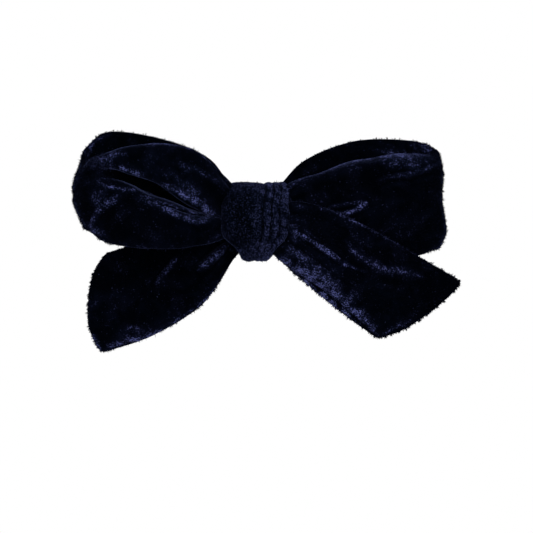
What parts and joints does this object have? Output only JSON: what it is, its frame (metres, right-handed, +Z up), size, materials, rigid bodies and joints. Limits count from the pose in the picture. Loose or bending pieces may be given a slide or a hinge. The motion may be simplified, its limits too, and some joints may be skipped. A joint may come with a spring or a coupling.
{
  "type": "hair bow clip",
  "caption": "Hand-tied velvet bow with two loops, a pleated knot and two slanted tails, on a sprung metal jaw clip that grips the hair.",
  "frame": {"origin": "middle of the face that the clip's jaws close on", "axes": "+X along the clip from its tip to its thumb end, +Y from the bow towards the head, +Z up"},
  "size_m": [0.1251, 0.0399, 0.07],
  "materials": {
    "velvet": "navy crushed velvet pile",
    "thread": "twisted polyester thread",
    "felt": "matted felt",
    "ribbon": "ribbed grosgrain",
    "silicone": "translucent silicone",
    "sheet_steel": "nickel plated",
    "pin_steel": "turned",
    "spring_steel": "drawn wire"
  },
  "bodies": {
    "bow": {"loop_band": "velvet", "tail_strip": "velvet", "knot_wrap": "velvet", "gather_thread": "thread", "wrap_stitches": "thread", "felt_pad": "felt", "jaw_lining": "ribbon", "grip_strip": "silicone", "fixed_jaw": "sheet_steel", "hinge_pin": "pin_steel", "torsion_spring": "spring_steel"},
    "jaw": {"moving_jaw": "sheet_steel"}
  },
  "joints": [
    {"name": "jaw_hinge", "type": "hinge", "parent": "bow", "child": "jaw", "pos_m": [0.009, 0.002, 0], "axis": [0, 0, -1], "range_deg": [0, 28], "stiffness_Nm_per_rad": 0.12, "springref_deg": -51.57, "deforming": ["torsion_spring"]}
  ]
}
